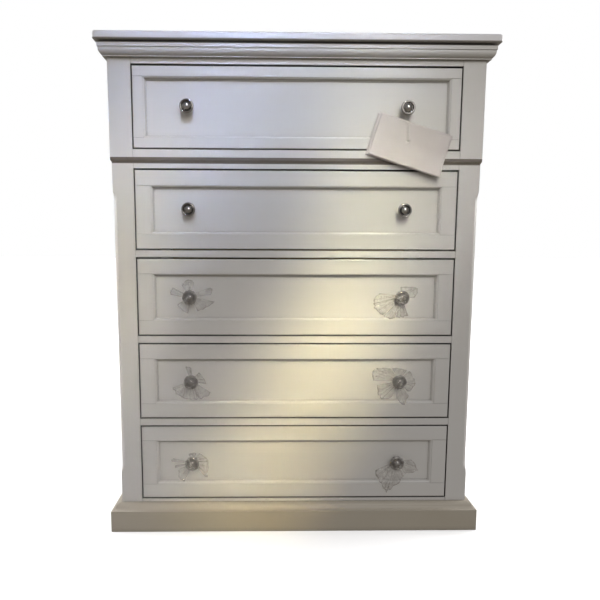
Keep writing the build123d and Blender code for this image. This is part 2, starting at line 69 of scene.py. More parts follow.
floor_mesh = bpy.data.meshes.new("studio_floor")
floor_build = bmesh.new()
bmesh.ops.create_grid(floor_build, x_segments=1, y_segments=1, size=30.0)
bmesh.ops.translate(floor_build, vec=(0.0, 0.0, -0.0005), verts=floor_build.verts)
floor_build.to_mesh(floor_mesh)
floor_build.free()
floor = bpy.data.objects.new("studio_floor", floor_mesh)
scene.collection.objects.link(floor)
floor.visible_diffuse = False
floor.visible_glossy = False
floor_paint = bpy.data.materials.new("studio_floor")
floor_paint.use_nodes = True
floor_shader = floor_paint.node_tree.nodes["Principled BSDF"]
floor_shader.inputs["Base Color"].default_value = (0.92, 0.92, 0.92, 1.0)
floor_shader.inputs["Roughness"].default_value = 0.9
floor_shader.inputs["Specular IOR Level"].default_value = 0.1
floor_mesh.materials.append(floor_paint)

world = bpy.data.worlds.new("studio_surround")
scene.world = world
world.use_nodes = True
surround = world.node_tree
surround.nodes.clear()
surround_out = surround.nodes.new("ShaderNodeOutputWorld")
seen_light = surround.nodes.new("ShaderNodeBackground")
seen_light.inputs["Color"].default_value = (1.0, 1.0, 1.0, 1.0)
room_light = surround.nodes.new("ShaderNodeBackground")
room_direction = surround.nodes.new("ShaderNodeTexCoord")
room_height = surround.nodes.new("ShaderNodeSeparateXYZ")
room_ramp = surround.nodes.new("ShaderNodeValToRGB")
room_ramp.color_ramp.elements[0].position = 0.0
room_ramp.color_ramp.elements[0].color = (0.17, 0.15, 0.11, 1.0)
room_ramp.color_ramp.elements[1].position = 1.0
room_ramp.color_ramp.elements[1].color = (0.24, 0.24, 0.27, 1.0)
room_range = surround.nodes.new("ShaderNodeMapRange")
room_range.inputs["From Min"].default_value = -1.0
room_range.inputs["From Max"].default_value = 1.0
room_choice = surround.nodes.new("ShaderNodeMixShader")
room_rays = surround.nodes.new("ShaderNodeLightPath")
surround.links.new(room_direction.outputs["Generated"], room_height.inputs[0])
surround.links.new(room_height.outputs["Z"], room_range.inputs["Value"])
surround.links.new(room_range.outputs["Result"], room_ramp.inputs["Fac"])
surround.links.new(room_ramp.outputs["Color"], room_light.inputs["Color"])
surround.links.new(room_rays.outputs["Is Camera Ray"], room_choice.inputs["Fac"])
surround.links.new(room_light.outputs[0], room_choice.inputs[1])
surround.links.new(seen_light.outputs[0], room_choice.inputs[2])
surround.links.new(room_choice.outputs[0], surround_out.inputs["Surface"])


def soft_box(name, place, aim, width, height, power, colour, spread, turn=0.0):
    """An area light at a place, facing a point, its long side turned about its own axis."""
    data = bpy.data.lights.new(name, "AREA")
    data.shape = "RECTANGLE"
    data.size = width
    data.size_y = height
    data.energy = power
    data.color = colour
    data.spread = math.radians(spread)
    box = bpy.data.objects.new(name, data)
    run = Vector(aim) - Vector(place)
    box.matrix_world = (
        Matrix.Translation(place)
        @ run.to_track_quat("-Z", "Y").to_matrix().to_4x4()
        @ Matrix.Rotation(math.radians(turn), 4, "Z")
    )
    box.visible_camera = False
    scene.collection.objects.link(box)


soft_box("front_box", (0.6, -3.2, 2.3), (0.0, 0.0, 0.7), 1.6, 1.6, 16.0, (1.0, 0.99, 0.95), 140.0)
soft_box("left_fill", (-3.0, 0.6, 1.8), (0.0, 0.1, 0.6), 1.6, 1.6, 60.0, (0.98, 0.99, 1.0), 180.0)
soft_box("right_fill", (3.0, 0.6, 1.8), (0.0, 0.1, 0.6), 1.6, 1.6, 50.0, (1.0, 0.98, 0.96), 180.0)
soft_box("back_fill", (0.3, 3.4, 2.2), (0.0, 0.2, 0.6), 2.0, 1.6, 55.0, (1.0, 0.99, 0.97), 180.0)

# Narrow strips with grids on them, leaning, that leave soft bands of light across the front:
# where each is aimed at across and up, its lean, and its power in red, green and blue
strip_bands = [
    (0.15, 0.75, -15.0, (0.200, 0.188, 0.118)),
    (0.00, 0.30, -38.0, (0.235, 0.190, 0.090)),
    (-0.15, 1.15, -38.0, (0.125, 0.160, 0.240)),
    (-0.45, 0.75, -15.0, (0.130, 0.117, 0.072)),
    (0.30, 0.75, -38.0, (0.115, 0.116, 0.106)),
    (0.15, 1.15, -38.0, (0.080, 0.098, 0.140)),
    (-0.15, 0.30, -38.0, (0.100, 0.095, 0.078)),
    (-0.45, 1.15, -38.0, (0.050, 0.070, 0.125)),
    (-0.45, 0.30, -15.0, (0.070, 0.072, 0.080)),
    (-0.22, 1.24, -38.0, (0.040, 0.048, 0.085)),
]
strip_width, strip_length, strip_spread = 0.1, 0.55, 8.0
front_plane_y = -0.23
for order, (across, up, lean, power) in enumerate(strip_bands):
    place = (0.6 * across + 0.2, -2.4, up + 2.0)
    aim = (across, front_plane_y, up)
    strength = max(power)
    tint = tuple(part / strength for part in power)
    soft_box(f"strip_{order}", place, aim, strip_width, strip_length, strength, tint, strip_spread, lean)

# An even wash on the floor alone, soft enough to leave only a faint shadow
wash_data = bpy.data.lights.new("floor_wash", "SUN")
wash_data.energy = 3.3
wash_data.angle = math.radians(120.0)
floor_wash = bpy.data.objects.new("floor_wash", wash_data)
scene.collection.objects.link(floor_wash)
floor_only = bpy.data.collections.new("floor_only")
floor_only.objects.link(floor)
floor_wash.light_linking.receiver_collection = floor_only


# Painted case
# Poplar posts, rails and mouldings and pale fibreboard panels, sprayed with an
# off-white satin lacquer; the top board is painted lighter as painted light, and
# the waist and base darker as painted shade.
def new_group(name, inputs, outputs):
    """An empty node group with its sockets, and its input and output nodes."""
    group = bpy.data.node_groups.new(name, "ShaderNodeTree")
    for socket, kind, value in inputs:
        made = group.interface.new_socket(name=socket, in_out="INPUT", socket_type=kind)
        made.default_value = value
    for socket, kind in outputs:
        group.interface.new_socket(name=socket, in_out="OUTPUT", socket_type=kind)
    return group, group.nodes.new("NodeGroupInput"), group.nodes.new("NodeGroupOutput")


def maths(tree, operation, first, second, limit=False):
    """A Math node, its inputs given as sockets or numbers; returns its output."""
    node = tree.nodes.new("ShaderNodeMath")
    node.operation = operation
    node.use_clamp = limit
    for slot, value in enumerate((first, second)):
        if isinstance(value, float):
            node.inputs[slot].default_value = value
        else:
            tree.links.new(value, node.inputs[slot])
    return node.outputs[0]


def map_range(tree, value, from_low, from_high, to_low, to_high):
    """A clamped Map Range node; returns its output."""
    node = tree.nodes.new("ShaderNodeMapRange")
    for socket, number in (
        ("From Min", from_low), ("From Max", from_high), ("To Min", to_low), ("To Max", to_high)
    ):
        node.inputs[socket].default_value = number
    tree.links.new(value, node.inputs["Value"])
    return node.outputs["Result"]


def noise_at(tree, vector, scale, detail=2.0, roughness=0.5):
    """A noise value at a vector socket, in cells per metre."""
    node = tree.nodes.new("ShaderNodeTexNoise")
    node.inputs["Scale"].default_value = scale
    node.inputs["Detail"].default_value = detail
    node.inputs["Roughness"].default_value = roughness
    tree.links.new(vector, node.inputs["Vector"])
    return node.outputs["Fac"]


def stretched(tree, vector, scale):
    """A vector scaled differently along each axis, through a Mapping node."""
    node = tree.nodes.new("ShaderNodeMapping")
    node.inputs["Scale"].default_value = scale
    tree.links.new(vector, node.inputs["Vector"])
    return node.outputs[0]


def mix_colour(tree, factor, first, second):
    """A colour Mix node: its factor is a socket, its colours are sockets or tuples; returns its output."""
    node = tree.nodes.new("ShaderNodeMix")
    node.data_type = "RGBA"
    for socket, value in ((0, factor), (6, first), (7, second)):
        if isinstance(value, tuple):
            node.inputs[socket].default_value = (*value, 1.0)
        else:
            tree.links.new(value, node.inputs[socket])
    return node.outputs[2]


def edge_shade_and_wear_masks():
    """Edges: masks of arrises, inside corners, narrow gaps and undersides, and a softened normal; the
    corner, gap and underside masks carry painted shade.
    """
    group, given, made = new_group(
        "arris_and_corner",
        [("Arris Radius", "NodeSocketFloat", 0.0012)],
        [
            ("Arris", "NodeSocketFloat"), ("Corner", "NodeSocketFloat"), ("Gap", "NodeSocketFloat"),
            ("Underside", "NodeSocketFloat"), ("Normal", "NodeSocketVector"),
        ],
    )
    softened = group.nodes.new("ShaderNodeBevel")
    softened.samples = 4
    group.links.new(given.outputs["Arris Radius"], softened.inputs["Radius"])
    surface = group.nodes.new("ShaderNodeNewGeometry")
    likeness = group.nodes.new("ShaderNodeVectorMath")
    likeness.operation = "DOT_PRODUCT"
    group.links.new(softened.outputs[0], likeness.inputs[0])
    group.links.new(surface.outputs["Normal"], likeness.inputs[1])
    arris = map_range(group, likeness.outputs["Value"], 0.72, 0.99, 1.0, 0.0)
    closeness = group.nodes.new("ShaderNodeAmbientOcclusion")
    closeness.samples = 4
    closeness.inputs["Distance"].default_value = 0.012
    corner = map_range(group, closeness.outputs["AO"], 0.35, 0.85, 1.0, 0.0)
    depth = group.nodes.new("ShaderNodeAmbientOcclusion")
    depth.samples = 4
    depth.inputs["Distance"].default_value = 0.03
    gap = map_range(group, depth.outputs["AO"], 0.12, 0.42, 1.0, 0.0)
    facing = group.nodes.new("ShaderNodeSeparateXYZ")
    group.links.new(surface.outputs["Normal"], facing.inputs[0])
    underside = map_range(group, facing.outputs["Z"], -0.75, -0.08, 1.0, 0.0)
    group.links.new(arris, made.inputs["Arris"])
    group.links.new(corner, made.inputs["Corner"])
    group.links.new(gap, made.inputs["Gap"])
    group.links.new(underside, made.inputs["Underside"])
    group.links.new(softened.outputs[0], made.inputs["Normal"])
    return group


arris_group = edge_shade_and_wear_masks()


def sprayed_lacquer_group():
    """Sprayed lacquer: its cloudy tone, its sheen, and the height of its texture."""
    group, given, made = new_group(
        "sprayed_lacquer",
        [("Grain Scale", "NodeSocketVector", (1.0, 1.0, 1.0)), ("Grain", "NodeSocketFloat", 0.5)],
        [("Tone", "NodeSocketFloat"), ("Sheen", "NodeSocketFloat"), ("Height", "NodeSocketFloat")],
    )
    place = group.nodes.new("ShaderNodeTexCoord").outputs["Object"]
    cloud = noise_at(group, place, 2.3, 3.0)
    smear = noise_at(group, stretched(group, place, (1.0, 1.0, 2.2)), 9.0, 4.0, 0.6)
    peel = noise_at(group, place, 620.0, 2.0)
    grain_place = group.nodes.new("ShaderNodeMapping")
    group.links.new(place, grain_place.inputs["Vector"])
    group.links.new(given.outputs["Grain Scale"], grain_place.inputs["Scale"])
    grain = noise_at(group, grain_place.outputs[0], 260.0, 3.0, 0.6)
    broad = map_range(group, cloud, 0.3, 0.7, -0.6, 0.6)
    fine = map_range(group, smear, 0.3, 0.7, -0.4, 0.4)
    tone = maths(group, "ADD", broad, fine)
    sheen = map_range(group, smear, 0.25, 0.75, 0.0, 1.0)
    grain_height = maths(group, "MULTIPLY", grain, given.outputs["Grain"])
    height = maths(group, "ADD", maths(group, "MULTIPLY", peel, 0.5), grain_height)
    group.links.new(tone, made.inputs["Tone"])
    group.links.new(sheen, made.inputs["Sheen"])
    group.links.new(height, made.inputs["Height"])
    return group


lacquer_group = sprayed_lacquer_group()


def new_material(name):
    """A material with its tree, its Principled shader and nothing else linked."""
    material = bpy.data.materials.new(name)
    material.use_nodes = True
    return material, material.node_tree, material.node_tree.nodes["Principled BSDF"]


def place_group(tree, group, **values):
    """A group node in a material, with some of its inputs set."""
    node = tree.nodes.new("ShaderNodeGroup")
    node.node_tree = group
    for socket, value in values.items():
        node.inputs[socket.replace("_", " ")].default_value = value
    return node


def paint(name, grain_scale, grain, clean=(0.80, 0.785, 0.76), warm=(0.765, 0.74, 0.70)):
    """Off-white satin lacquer over wood whose grain barely shows, with painted shade in its inside
    corners, under its overhangs and in its gaps, and its arrises a little lighter, partly wear and partly
    painted highlight.
    """
    material, tree, shader = new_material(name)
    finish = place_group(tree, lacquer_group, Grain_Scale=grain_scale, Grain=grain)
    edges = place_group(tree, arris_group, Arris_Radius=0.0006)
    tone = map_range(tree, finish.outputs["Tone"], -1.0, 1.0, 0.0, 1.0)
    colour = mix_colour(tree, tone, warm, clean)
    # Painted shade: inside corners darkened towards a brownish grey.
    corner_shade = maths(tree, "MULTIPLY", edges.outputs["Corner"], 0.45)
    colour = mix_colour(tree, corner_shade, colour, (0.42, 0.38, 0.32))
    # Painted shade: faces that look downwards, under overhangs and mouldings, darkened towards a dark
    # brown.
    underside_shade = maths(tree, "MULTIPLY", edges.outputs["Underside"], 0.62)
    colour = mix_colour(tree, underside_shade, colour, (0.20, 0.165, 0.13))
    # Arrises a little lighter: partly wear of the lacquer, partly a painted highlight.
    edge_wear_and_highlight = maths(tree, "MULTIPLY", edges.outputs["Arris"], 0.25)
    colour = mix_colour(tree, edge_wear_and_highlight, colour, (0.83, 0.815, 0.785))
    # Painted shade: narrow gaps, such as round the drawers, darkened to near black.
    gap_shade = maths(tree, "MULTIPLY", edges.outputs["Gap"], 0.95)
    colour = mix_colour(tree, gap_shade, colour, (0.03, 0.026, 0.021))
    tree.links.new(colour, shader.inputs["Base Color"])
    rough = map_range(tree, finish.outputs["Sheen"], 0.0, 1.0, 0.30, 0.42)
    tree.links.new(rough, shader.inputs["Roughness"])
    bump = tree.nodes.new("ShaderNodeBump")
    bump.inputs["Strength"].default_value = 0.25
    bump.inputs["Distance"].default_value = 0.00008
    tree.links.new(finish.outputs["Height"], bump.inputs["Height"])
    tree.links.new(edges.outputs["Normal"], bump.inputs["Normal"])
    tree.links.new(bump.outputs[0], shader.inputs["Normal"])
    return material


paint_across = paint("white_paint_across", (0.05, 1.0, 1.0), 0.15)
paint_upright = paint("white_paint_upright", (1.0, 1.0, 0.05), 0.15)
paint_flat = paint("white_paint_flat", (1.0, 1.0, 1.0), 0.05)
# Lit and shaded copies of the paint: the top board painted lighter as painted light, the base darker and
# browner and the waist far darker as painted shade.
top_paint_painted_light = paint("white_paint_top_painted_light", (0.05, 1.0, 1.0), 0.10, (0.96, 0.95, 0.97), (0.93, 0.91, 0.91))
base_paint_painted_shade = paint("white_paint_base_painted_shade", (0.05, 1.0, 1.0), 0.15, (0.59, 0.54, 0.45), (0.54, 0.48, 0.38))
waist_paint_painted_shade = paint("white_paint_waist_painted_shade", (0.05, 1.0, 1.0), 0.10, (0.19, 0.165, 0.14), (0.165, 0.14, 0.118))


def finish_nodes(material, *names):
    """Gives CAD nodes their material."""
    for name in names:
        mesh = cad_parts[name].data
        mesh.materials.clear()
        mesh.materials.append(material)


finish_nodes(
    paint_across, "cornice_moulding", "front_top_rail", "waist_rail_upper", "waist_rail_lower",
    "divider_rails", "bottom_rail", "side_rails",
)
finish_nodes(top_paint_painted_light, "top_board")
finish_nodes(base_paint_painted_shade, "base_moulding")
finish_nodes(waist_paint_painted_shade, "waist_moulding")
finish_nodes(paint_upright, "front_post_left", "front_post_right", "rear_post_left", "rear_post_right")
finish_nodes(paint_flat, "side_panels")


# Bare wood inside
# Planed poplar drawer boxes, slide bearers and back rails, and thin plywood for
# the back, the bottom board and the drawer bottoms.
def bare_wood(name, pale, dark, grain_scale, rough):
    """Planed wood: long streaks along the board and fine pores across it."""
    material, tree, shader = new_material(name)
    place = tree.nodes.new("ShaderNodeTexCoord").outputs["Object"]
    streaks = noise_at(tree, stretched(tree, place, grain_scale), 38.0, 5.0, 0.62)
    pores = noise_at(tree, stretched(tree, place, grain_scale), 620.0, 3.0, 0.6)
    figure = map_range(tree, streaks, 0.36, 0.66, 0.0, 1.0)
    colour = mix_colour(tree, figure, pale, dark)
    flecks = maths(tree, "MULTIPLY", map_range(tree, pores, 0.55, 0.75, 0.0, 1.0), 0.35)
    colour = mix_colour(tree, flecks, colour, tuple(0.62 * part for part in dark))
    edges = place_group(tree, arris_group, Arris_Radius=0.0008)
    shaded = maths(tree, "MULTIPLY", edges.outputs["Corner"], 0.4)
    colour = mix_colour(tree, shaded, colour, (0.16, 0.11, 0.07))
    tree.links.new(colour, shader.inputs["Base Color"])
    dryness = map_range(tree, streaks, 0.3, 0.7, rough - 0.06, rough + 0.06)
    tree.links.new(dryness, shader.inputs["Roughness"])
    bump = tree.nodes.new("ShaderNodeBump")
    bump.inputs["Strength"].default_value = 0.4
    bump.inputs["Distance"].default_value = 0.0002
    tree.links.new(pores, bump.inputs["Height"])
    tree.links.new(edges.outputs["Normal"], bump.inputs["Normal"])
    tree.links.new(bump.outputs[0], shader.inputs["Normal"])
    return material


box_wood = bare_wood("drawer_wood", (0.64, 0.49, 0.32), (0.50, 0.34, 0.19), (1.0, 0.06, 1.0), 0.55)
rail_wood = bare_wood("rail_wood", (0.62, 0.48, 0.32), (0.47, 0.33, 0.19), (0.06, 1.0, 1.0), 0.6)
plywood = bare_wood("plywood", (0.66, 0.52, 0.36), (0.54, 0.39, 0.24), (1.0, 0.07, 0.07), 0.62)
finish_nodes(box_wood, "slide_bearers")
finish_nodes(rail_wood, "back_rails")
finish_nodes(plywood, "back_panel", "bottom_board")


# Slides and screws
# Bright zinc-plated steel: pressed channels with rolled edges, and turned screws.
def plated_steel():
    """Zinc plating with faint crystals and long rolling marks."""
    material, tree, shader = new_material("zinc_plated_steel")
    place = tree.nodes.new("ShaderNodeTexCoord").outputs["Object"]
    spangle = tree.nodes.new("ShaderNodeTexVoronoi")
    spangle.inputs["Scale"].default_value = 420.0
    tree.links.new(place, spangle.inputs["Vector"])
    marks = noise_at(tree, stretched(tree, place, (1.0, 0.03, 1.0)), 900.0, 3.0)
    brushed = map_range(tree, marks, 0.35, 0.65, 0.0, 1.0)
    colour = mix_colour(tree, brushed, (0.56, 0.57, 0.58), (0.68, 0.69, 0.70))
    tree.links.new(colour, shader.inputs["Base Color"])
    dulled = map_range(tree, spangle.outputs["Distance"], 0.0, 0.8, 0.26, 0.42)
    tree.links.new(dulled, shader.inputs["Roughness"])
    shader.inputs["Metallic"].default_value = 1.0
    edges = place_group(tree, arris_group, Arris_Radius=0.0005)
    bump = tree.nodes.new("ShaderNodeBump")
    bump.inputs["Strength"].default_value = 0.25
    bump.inputs["Distance"].default_value = 0.0001
    tree.links.new(marks, bump.inputs["Height"])
    tree.links.new(edges.outputs["Normal"], bump.inputs["Normal"])
    tree.links.new(bump.outputs[0], shader.inputs["Normal"])
    return material


steel = plated_steel()
finish_nodes(steel, "slides_case_members", "top_screws")
drawer_numbers = (1, 2, 3, 4, 5)
for number in drawer_numbers:
    finish_nodes(steel, f"drawer_{number}_slides", f"drawer_{number}_knob_screws")


# Drawers
# Frame and panel fronts sprayed like the case, on planed poplar boxes with
# plywood bottoms.
for number in drawer_numbers:
    finish_nodes(paint_across, f"drawer_{number}_front")
    finish_nodes(box_wood, f"drawer_{number}_box")
    finish_nodes(plywood, f"drawer_{number}_bottom")


# Knobs
# Turned brass, polished and plated with nickel: a waisted neck, a raised ring
# round the head, a groove inside it and a domed middle.
def polished_nickel():
    """Polished plating with hairline marks and a trace of haze, with painted shade in its inside corners
    and a painted dark reflection round its outline.
    """
    material, tree, shader = new_material("polished_nickel")
    place = tree.nodes.new("ShaderNodeTexCoord").outputs["Object"]
    haze = noise_at(tree, place, 140.0, 4.0)
    hairlines = noise_at(tree, stretched(tree, place, (1.0, 1.0, 0.08)), 2600.0, 2.0)
    cloudy = map_range(tree, haze, 0.3, 0.7, 0.0, 1.0)
    colour = mix_colour(tree, cloudy, (0.50, 0.47, 0.45), (0.60, 0.57, 0.54))
    edges = place_group(tree, arris_group, Arris_Radius=0.0003)
    # Painted shade: the knob's inside corners darkened to near black.
    knob_corner_shade = maths(tree, "MULTIPLY", edges.outputs["Corner"], 0.85)
    colour = mix_colour(tree, knob_corner_shade, colour, (0.03, 0.027, 0.022))
    # Painted reflection: the knob darkened to near black where it turns away from view, as if mirroring a
    # dark room.
    dark_reflection_weight = tree.nodes.new("ShaderNodeLayerWeight")
    dark_reflection_weight.inputs["Blend"].default_value = 0.42
    rim = map_range(tree, dark_reflection_weight.outputs["Facing"], 0.12, 0.45, 0.0, 0.92)
    colour = mix_colour(tree, rim, colour, (0.030, 0.026, 0.022))
    tree.links.new(colour, shader.inputs["Base Color"])
    scratched = maths(tree, "MULTIPLY", hairlines, 0.04)
    rough = maths(tree, "ADD", map_range(tree, haze, 0.3, 0.7, 0.05, 0.10), scratched)
    tree.links.new(rough, shader.inputs["Roughness"])
    shader.inputs["Metallic"].default_value = 1.0
    return material


nickel = polished_nickel()
knob_across = 0.2735
knob_sides = 72
# The panel each pair of knobs stands on, and their height, for each drawer
knob_feet = {
    1: (-0.2175, 1.10025),
    2: (-0.2145, 0.84975),
    3: (-0.2145, 0.62725),
    4: (-0.2145, 0.40475),
    5: (-0.2145, 0.18225),
}
knob_outline = [
    (0.0, 0.0), (9.0, 0.0), (9.0, 1.2), (8.7, 1.9), (7.6, 2.9), (6.3, 4.4), (5.4, 6.0), (5.0, 8.0),
    (5.0, 12.6), (5.5, 13.7), (7.4, 14.7), (11.0, 15.9), (14.4, 17.0), (16.4, 18.2), (17.2, 19.2),
    (17.5, 20.4), (17.2, 21.7), (16.6, 22.6), (15.6, 23.35), (14.6, 23.6), (13.7, 23.35),
    (12.9, 22.5), (12.3, 21.2), (11.7, 20.4), (11.0, 20.1), (10.4, 20.5), (10.0, 21.6), (9.5, 23.0),
    (8.6, 24.5), (7.1, 25.7), (5.4, 26.75), (3.6, 27.5), (1.8, 27.88), (0.0, 28.0),
]


def turned_piece(outline, turns):
    """A closed turned solid standing on the floor plane, from radius and height pairs in millimetres."""
    build = bmesh.new()
    ring = [build.verts.new((radius / 1000, 0.0, height / 1000)) for radius, height in outline]
    for low, high in zip(ring, ring[1:]):
        build.edges.new((low, high))
    bmesh.ops.spin(
        build, geom=build.verts[:] + build.edges[:], cent=(0, 0, 0), axis=(0, 0, 1),
        angle=2 * math.pi, steps=turns, use_merge=True,
    )
    bmesh.ops.remove_doubles(build, verts=build.verts, dist=0.00002)
    bmesh.ops.recalc_face_normals(build, faces=build.faces)
    return build


def stood_on_front(build, x, foot_y, z):
    """Turns a piece that stands on the floor plane to stand on a drawer front at a place."""
    stood_up = Matrix.Translation((x, foot_y, z)) @ Matrix.Rotation(math.pi / 2, 4, "X")
    bmesh.ops.transform(build, matrix=stood_up, verts=build.verts)


def finished_object(name, build, material):
    """A bmesh made a smooth-shaded object at the origin, with its material."""
    mesh = bpy.data.meshes.new(name)
    build.to_mesh(mesh)
    build.free()
    for face in mesh.polygons:
        face.use_smooth = True
    mesh.materials.append(material)
    made = bpy.data.objects.new(name, mesh)
    scene.collection.objects.link(made)
    return made


def joined(first, second):
    """Adds a second bmesh to a first."""
    passing = bpy.data.meshes.new("passing")
    second.to_mesh(passing)
    second.free()
    first.from_mesh(passing)
    bpy.data.meshes.remove(passing)
    return first


knobs = {}
for number in drawer_numbers:
    foot_y, knob_z = knob_feet[number]
    pair = bmesh.new()
    for x in (-knob_across, knob_across):
        knob = turned_piece(knob_outline, knob_sides)
        stood_on_front(knob, x, foot_y, knob_z)
        joined(pair, knob)
    knobs[number] = finished_object(f"knobs_{number}", pair, nickel)
    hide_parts(f"drawer_{number}_knobs")
    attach(knobs[number], f"drawer_{number}")


# Film on the lower knobs
# Thin clear film left on from packing: each square is drawn over a knob,
# gathered behind its head, and splays out in pleated flaps.
def crinkled_film():
    """Clear film: almost clear in its middle, greyer along its creases, folds and cut edges."""
    material, tree, shader = new_material("crinkled_film")
    place = tree.nodes.new("ShaderNodeTexCoord").outputs["Object"]
    creases = tree.nodes.new("ShaderNodeTexVoronoi")
    creases.feature = "DISTANCE_TO_EDGE"
    creases.inputs["Scale"].default_value = 130.0
    warp = tree.nodes.new("ShaderNodeTexNoise")
    warp.inputs["Scale"].default_value = 60.0
    tree.links.new(place, warp.inputs["Vector"])
    bent = tree.nodes.new("ShaderNodeVectorMath")
    bent.operation = "MULTIPLY_ADD"
    bent.inputs[1].default_value = (0.02, 0.02, 0.02)
    tree.links.new(warp.outputs["Color"], bent.inputs[0])
    tree.links.new(place, bent.inputs[2])
    tree.links.new(bent.outputs[0], creases.inputs["Vector"])
    line = map_range(tree, creases.outputs["Distance"], 0.0, 0.05, 1.0, 0.0)
    haze = noise_at(tree, place, 45.0, 3.0)
    blotches = noise_at(tree, place, 110.0, 2.0)
    hem = tree.nodes.new("ShaderNodeAttribute")
    hem.attribute_name = "hem"
    rim = tree.nodes.new("ShaderNodeLayerWeight")
    rim.inputs["Blend"].default_value = 0.35
    body = map_range(tree, haze, 0.3, 0.7, 0.10, 0.24)
    body = maths(tree, "ADD", body, maths(tree, "MULTIPLY", line, 0.16))
    body = maths(tree, "ADD", body, maths(tree, "MULTIPLY", hem.outputs["Fac"], 0.35))
    body = maths(tree, "ADD", body, maths(tree, "MULTIPLY", rim.outputs["Facing"], 0.42), limit=True)
    tree.links.new(body, shader.inputs["Alpha"])
    lit = map_range(tree, blotches, 0.42, 0.62, 0.0, 1.0)
    colour = mix_colour(tree, lit, (0.42, 0.38, 0.35), (0.86, 0.84, 0.80))
    hemmed = maths(tree, "MULTIPLY", hem.outputs["Fac"], 0.6)
    colour = mix_colour(tree, hemmed, colour, (0.36, 0.32, 0.29))
    tree.links.new(colour, shader.inputs["Base Color"])
    tree.links.new(map_range(tree, haze, 0.3, 0.7, 0.12, 0.28), shader.inputs["Roughness"])
    bump = tree.nodes.new("ShaderNodeBump")
    bump.inputs["Strength"].default_value = 0.6
    bump.inputs["Distance"].default_value = 0.0006
    tree.links.new(line, bump.inputs["Height"])
    tree.links.new(bump.outputs[0], shader.inputs["Normal"])
    return material


film_material = crinkled_film()
# Each flap: the angles of its root and of its cut edge, its length at each end of that edge,
# its pleats, and how far its edge lifts
film_flaps = {
    (3, "left"): [
        (140, 200, 150, 172, 50, 49, 2, 3), (70, 130, 96, 124, 46, 36, 2, 2),
        (60, 100, 74, 96, 39, 46, 2, 2), (-5, 75, 8, 25, 55, 60, 2, 7),
        (-60, 0, -62, -10, 41, 64, 3, 2), (200, 275, 211, 262, 38, 43, 3, 1),
    ],
    (3, "right"): [
        (130, 190, 170, 192, 60, 75, 3, 2), (178, 230, 192, 224, 75, 67, 4, 3),
        (222, 265, 226, 252, 66, 57, 3, 6), (40, 110, 31, 97, 48, 28, 2, 3),
        (-10, 45, 0, 31, 34, 48, 2, 4), (245, 300, 256, 292, 52, 50, 5, 0),
    ],
    (4, "left"): [
        (190, 245, 199, 240, 53, 50, 4, 1), (235, 292, 240, 290, 50, 51, 5, 3),
        (285, 340, 290, 329, 51, 60, 4, 1), (80, 125, 88, 110, 36, 42, 2, 4),
        (-20, 65, -10, 50, 41, 32, 4, 2),
    ],
    (4, "right"): [
        (110, 160, 123, 153, 42, 75, 5, 4), (150, 190, 153, 178, 75, 67, 4, 2),
        (182, 240, 190, 227, 60, 66, 4, 3), (225, 265, 227, 246, 66, 46, 2, 5),
        (250, 290, 262, 283, 46, 65, 2, 2), (275, 312, 283, 304, 65, 45, 2, 4),
        (-60, 0, -49, -9, 38, 44, 3, 2), (-15, 60, -9, 47, 44, 39, 3, 4),
        (50, 120, 56, 118, 36, 40, 3, 1),
    ],
    (5, "left"): [
        (155, 188, 168, 177, 52, 55, 1, 3), (180, 208, 189, 198, 46, 48, 1, 1),
        (200, 245, 207, 230, 41, 54, 2, 4), (225, 268, 230, 246, 54, 55, 2, 2),
        (-70, -20, -50, -39, 54, 50, 1, 2), (-45, 20, -40, 8, 50, 43, 2, 6),
        (5, 80, 8, 55, 43, 34, 3, 4), (65, 118, 70, 112, 30, 27, 2, 3),
    ],
    (5, "right"): [
        (190, 258, 202, 254, 62, 87, 5, 3), (248, 302, 254, 298, 87, 45, 4, 2),
        (-62, -12, -53, -22, 41, 61, 2, 2), (-22, 25, -22, 10, 61, 42, 3, 4),
    ],
}
# In millimetres: where the flaps leave the neck, and how they clear the raised frame of the front
film_root_radius = 8.0
film_root_height = 11.8
film_frame_height = 10.9
film_frame_reach = 49.0
film_hem = 0.06
film_thickness = 0.00012


def film_flap(flap, seed):
    """One pleated flap, from its root behind the head out to its cut edge, in the knob's own frame."""
    root_start, root_end, start, end, start_length, end_length, pleats, lift = flap
    first = start_length * Vector((math.cos(math.radians(start)), math.sin(math.radians(start))))
    last = end_length * Vector((math.cos(math.radians(end)), math.sin(math.radians(end))))
    build = bmesh.new()
    bmesh.ops.create_grid(build, x_segments=30, y_segments=16 * pleats + 8, size=0.5)
    hem = build.verts.layers.float.new("hem")
    for vert in build.verts:
        out = vert.co.x + 0.5
        side = vert.co.y + 0.5
        cut_edge = (out - 1.0 + film_hem) / film_hem
        side_edge = out * (1.0 - 14.0 * min(side, 1.0 - side))
        vert[hem] = max(0.0, cut_edge, side_edge)
        wander = 0.35 * noise.noise(Vector((side * 3.0, out * 1.2, seed)))
        fold = abs(2.0 * ((0.6 * pleats * side + wander + seed * 0.37) % 1.0) - 1.0)
        turn = math.radians(root_start + (root_end - root_start) * side)
        root = film_root_radius * Vector((math.cos(turn), math.sin(turn)))
        edge = first.lerp(last, side) * (1.0 + 0.06 * math.sin(math.pi * side))
        edge *= 1.0 + 0.035 * (fold - 0.5) + 0.05 * noise.noise(Vector((side * 5.0, seed, 3.0)))
        place = root.lerp(edge, out)
        crumple = noise.noise(Vector((place.x * 0.07, place.y * 0.07, seed)))
        crease = abs(noise.noise(Vector((place.x * 0.16, place.y * 0.16, seed + 5.0))))
        height = film_root_height + lift * out**1.5 + (fold - 0.5) * (0.9 + 2.3 * out)
        height += 2.4 * crumple * out + 2.2 * crease
        if abs(place.y) > film_frame_reach:
            height = max(height, film_frame_height)
        vert.co = (place.x / 1000, place.y / 1000, height / 1000)
    return build


